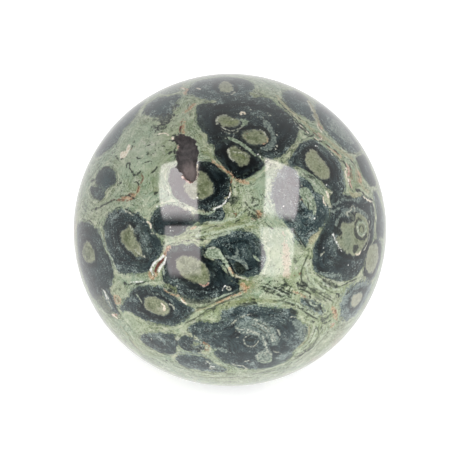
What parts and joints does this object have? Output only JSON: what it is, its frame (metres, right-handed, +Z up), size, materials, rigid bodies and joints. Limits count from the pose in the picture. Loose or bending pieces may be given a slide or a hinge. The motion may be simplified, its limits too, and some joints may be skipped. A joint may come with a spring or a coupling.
{
  "type": "kambaba jasper sphere",
  "caption": "Polished round ball of kambaba jasper, green with near-black eyes, with one small open hollow left unpolished, resting on a tiny flat spot.",
  "frame": {"origin": "middle of the small flat spot under the ball, on the surface that it rests on", "axes": "+Z up through the ball's centre, -Y towards the viewer of the pictured side, +X to that viewer's right"},
  "size_m": [0.06, 0.06, 0.0598],
  "materials": {
    "stone": "polished to a high gloss, rough inside the open hollow"
  },
  "bodies": {
    "root": {"jasper_ball": "stone"}
  },
  "joints": []
}
